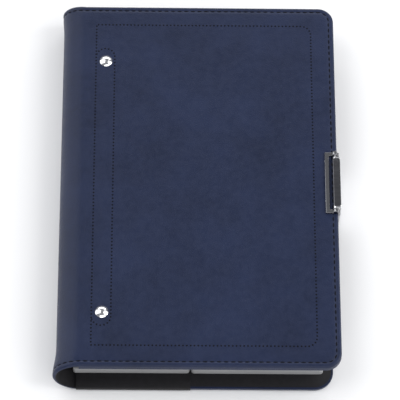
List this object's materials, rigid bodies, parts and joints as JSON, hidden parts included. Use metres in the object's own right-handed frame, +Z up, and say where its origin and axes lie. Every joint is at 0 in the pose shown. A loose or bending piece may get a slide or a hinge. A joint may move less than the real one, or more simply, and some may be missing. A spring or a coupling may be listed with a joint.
{
  "type": "tablet keyboard case",
  "caption": "Book-style leather keyboard case for a ten-inch tablet, closed, with a round folding spine, a metal clasp, domed rivets, a keyboard deck and a tilting tablet holder.",
  "frame": {"origin": "in the resting face of the back cover, halfway between the spine's outer line and the front cover's free edge, and halfway along the spine", "axes": "+X from the spine to the clasp, +Y along the spine (away from the user when the closed case is read like a book), +Z up through the covers"},
  "size_m": [0.1974, 0.292, 0.0357],
  "materials": {
    "navy_leather": "fine-grained dark navy, satin",
    "black_lining": "black microfibre lining, matt",
    "stiff_board": "grey-brown bookbinding board",
    "padding": "off-white foam sheet",
    "deck_plastic": "light grey, fine matt texture",
    "key_plastic": "near-black, satin",
    "pad_plastic": "mid grey, smooth satin",
    "clear_plastic": "milky clear, gloss",
    "dome_rubber": "translucent grey silicone",
    "circuit": "green solder mask",
    "flex": "amber polyimide",
    "cell_pouch": "soft foil pouch, satin",
    "socket_steel": "thin plated steel",
    "hinge_steel": "nickel-plated steel",
    "screw_steel": "zinc-plated steel",
    "chrome": "polished",
    "dark_chrome": "polished black nickel",
    "magnet": "nickel-plated magnet"
  },
  "bodies": {
    "back_cover": {"back_leather": "navy_leather", "back_board": "stiff_board", "back_lining": "black_lining", "keyboard_base": "deck_plastic", "keyboard_top": "deck_plastic", "dome_sheet": "dome_rubber", "key_circuit": "circuit", "ribbon_cable": "flex", "palm_base": "deck_plastic", "palm_top": "deck_plastic", "touchpad_plate": "pad_plastic", "control_board": "circuit", "battery": "cell_pouch", "usb_socket": "socket_steel", "indicator_lens": "clear_plastic", "deck_screws": "screw_steel", "end_flap": "black_lining", "catch_block": "navy_leather", "catch_magnet": "magnet"},
    "number_row": {"number_row_keys": "key_plastic"},
    "tab_row": {"tab_row_keys": "key_plastic"},
    "home_row": {"home_row_keys": "key_plastic"},
    "shift_row": {"shift_row_keys": "key_plastic"},
    "bottom_row": {"bottom_row_keys": "key_plastic"},
    "space": {"space_bar": "key_plastic"},
    "left_button": {"left_pad_button": "pad_plastic"},
    "right_button": {"right_pad_button": "pad_plastic"},
    "switch": {"power_switch": "key_plastic"},
    "connect": {"connect_button": "key_plastic"},
    "spine": {"spine_leather": "navy_leather", "spine_core": "stiff_board", "spine_lining": "black_lining"},
    "front_cover": {"front_leather": "navy_leather", "front_foam": "padding", "front_board": "stiff_board", "front_lining": "black_lining", "dome_rivets": "chrome", "fixed_hinge_leaves": "hinge_steel", "hinge_pins": "hinge_steel", "clasp_frame": "chrome", "clasp_backing": "hinge_steel", "clasp_rivets": "hinge_steel", "clasp_pin": "hinge_steel"},
    "flap": {"clasp_flap": "chrome", "flap_inlay": "dark_chrome", "flap_magnet": "magnet"},
    "tablet_holder": {"holder_panel": "black_lining", "moving_hinge_leaves": "hinge_steel", "leaf_rivets": "hinge_steel", "corner_holders": "key_plastic"}
  },
  "joints": [
    {"name": "back_fold", "type": "hinge", "parent": "back_cover", "child": "spine", "pos_m": [-0.09281, 0, 0.00469], "axis": [0, -1, 0], "range_deg": [0, 90]},
    {"name": "front_fold", "type": "hinge", "parent": "spine", "child": "front_cover", "pos_m": [-0.09281, 0, 0.02731], "axis": [0, -1, 0], "range_deg": [0, 90]},
    {"name": "holder_tilt", "type": "hinge", "parent": "front_cover", "child": "tablet_holder", "pos_m": [-0.079, 0, 0.0246], "axis": [0, 1, 0], "range_deg": [0, 70]},
    {"name": "clasp_flap_hinge", "type": "hinge", "parent": "front_cover", "child": "flap", "pos_m": [0.0954, 0, 0.034], "axis": [0, -1, 0], "range_deg": [0, 110]},
    {"name": "number_row_press", "type": "slide", "parent": "back_cover", "child": "number_row", "axis": [0, 0, -1], "range_m": [0, 0.0015], "stiffness_N_per_m": 400, "springref_m": -0.001},
    {"name": "tab_row_press", "type": "slide", "parent": "back_cover", "child": "tab_row", "axis": [0, 0, -1], "range_m": [0, 0.0015], "stiffness_N_per_m": 400, "springref_m": -0.001},
    {"name": "home_row_press", "type": "slide", "parent": "back_cover", "child": "home_row", "axis": [0, 0, -1], "range_m": [0, 0.0015], "stiffness_N_per_m": 400, "springref_m": -0.001},
    {"name": "shift_row_press", "type": "slide", "parent": "back_cover", "child": "shift_row", "axis": [0, 0, -1], "range_m": [0, 0.0015], "stiffness_N_per_m": 400, "springref_m": -0.001},
    {"name": "bottom_row_press", "type": "slide", "parent": "back_cover", "child": "bottom_row", "axis": [0, 0, -1], "range_m": [0, 0.0015], "stiffness_N_per_m": 400, "springref_m": -0.001},
    {"name": "space_press", "type": "slide", "parent": "back_cover", "child": "space", "axis": [0, 0, -1], "range_m": [0, 0.0015], "stiffness_N_per_m": 400, "springref_m": -0.001},
    {"name": "left_button_press", "type": "slide", "parent": "back_cover", "child": "left_button", "axis": [0, 0, -1], "range_m": [0, 0.0005], "stiffness_N_per_m": 400, "springref_m": -0.001},
    {"name": "right_button_press", "type": "slide", "parent": "back_cover", "child": "right_button", "axis": [0, 0, -1], "range_m": [0, 0.0005], "stiffness_N_per_m": 400, "springref_m": -0.001},
    {"name": "connect_press", "type": "slide", "parent": "back_cover", "child": "connect", "axis": [0, 0, -1], "range_m": [0, 0.0005], "stiffness_N_per_m": 400, "springref_m": -0.001},
    {"name": "power_slide", "type": "slide", "parent": "back_cover", "child": "switch", "axis": [1, 0, 0], "range_m": [0, 0.0024]}
  ],
  "couplings": [
    {"joint": "front_fold", "follows": "back_fold", "ratio": 1},
    {"joint": "holder_tilt", "follows": "back_fold", "ratio": 0.77778}
  ]
}
